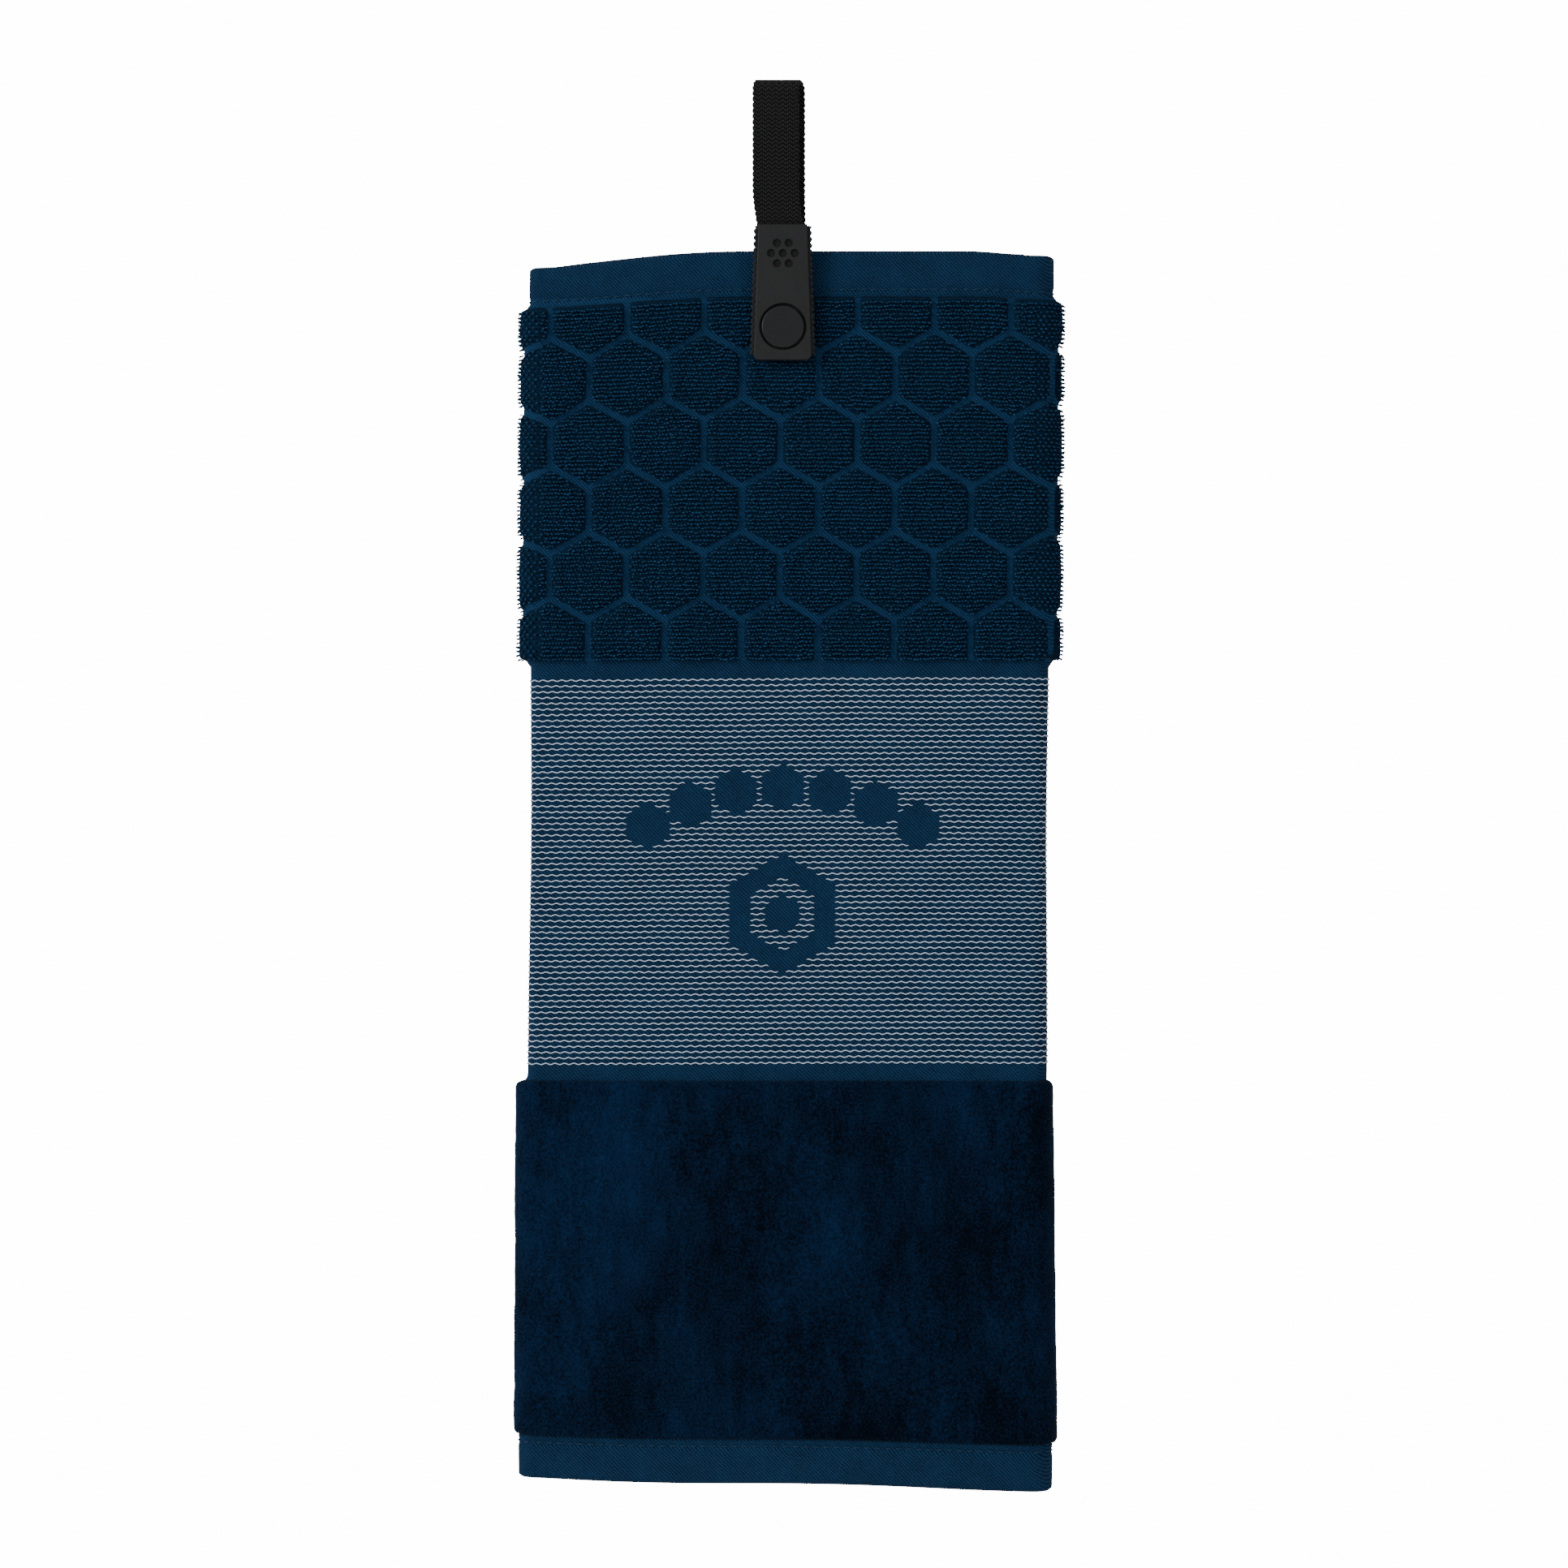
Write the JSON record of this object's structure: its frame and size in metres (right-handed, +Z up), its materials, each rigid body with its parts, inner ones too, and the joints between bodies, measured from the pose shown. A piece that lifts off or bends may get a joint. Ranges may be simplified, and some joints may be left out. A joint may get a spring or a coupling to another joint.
{
  "type": "golf towel",
  "caption": "Golf towel folded in three, honeycomb terry above, threaded band and velour below, hung from a webbing loop with a snap tab",
  "frame": {"origin": "inside top of the strap loop, where a ring or hook bears", "axes": "+Z up along the hanging towel, -Y the way the front face looks, +X to the right seen from the front"},
  "size_m": [0.178, 0.0198, 0.4656],
  "materials": {
    "terry": "looped cotton terry, dark navy",
    "velour": "sheared cotton velour, dark navy",
    "flat_weave": "flat twill weave, navy",
    "pale_thread": "pale blue-white cotton yarn",
    "blue_thread": "matt sewing thread, slate blue",
    "black_thread": "matt sewing thread, black",
    "webbing": "woven polyester webbing, black",
    "tab_rubber": "moulded, matt charcoal",
    "snap_cap": "satin black enamel",
    "snap_metal": "blackened brass"
  },
  "bodies": {
    "towel": {"centre_bottom_hem": "flat_weave", "centre_flat_band": "flat_weave", "centre_hem_stitching": "blue_thread", "centre_honeycomb_terry": "terry", "centre_pale_threads": "pale_thread", "centre_top_hem": "flat_weave", "centre_velour": "velour", "left_fold": "terry", "right_fold": "terry", "snap_eyelet": "snap_metal", "snap_stud": "snap_metal", "strap_anchor_stitching": "black_thread", "strap_crown": "webbing", "strap_rear_webbing": "webbing"},
    "left_wing": {"left_wing_bottom_hem": "flat_weave", "left_wing_flat_band": "flat_weave", "left_wing_hem_stitching": "blue_thread", "left_wing_honeycomb_terry": "terry", "left_wing_pale_threads": "pale_thread", "left_wing_side_hem": "flat_weave", "left_wing_side_stitching": "blue_thread", "left_wing_top_hem": "flat_weave", "left_wing_velour": "velour"},
    "right_wing": {"right_wing_bottom_hem": "flat_weave", "right_wing_flat_band": "flat_weave", "right_wing_hem_stitching": "blue_thread", "right_wing_honeycomb_terry": "terry", "right_wing_pale_threads": "pale_thread", "right_wing_side_hem": "flat_weave", "right_wing_side_stitching": "blue_thread", "right_wing_top_hem": "flat_weave", "right_wing_velour": "velour"},
    "strap_tab": {"strap_front_webbing": "webbing", "tab_rubber": "tab_rubber", "tab_edge_stitching": "black_thread", "snap_cap": "snap_cap", "snap_socket": "snap_metal"}
  },
  "joints": [
    {"name": "right_wing_fold", "type": "hinge", "parent": "towel", "child": "right_wing", "pos_m": [0.0829, 0.0062, 0], "axis": [0, 0, -1], "range_deg": [0, 179], "deforming": ["right_fold"]},
    {"name": "left_wing_fold", "type": "hinge", "parent": "towel", "child": "left_wing", "pos_m": [-0.0812, 0.0039, 0], "axis": [0, 0, 1], "range_deg": [0, 179], "deforming": ["left_fold", "right_wing_bottom_hem", "right_wing_flat_band", "right_wing_hem_stitching", "right_wing_honeycomb_terry", "right_wing_pale_threads", "right_wing_side_hem", "right_wing_side_stitching", "right_wing_top_hem", "right_wing_velour"]},
    {"name": "strap_tab_swing", "type": "hinge", "parent": "towel", "child": "strap_tab", "pos_m": [0, 0, -0.0025], "axis": [-1, 0, 0], "range_deg": [0, 150], "deforming": ["strap_crown"]}
  ]
}
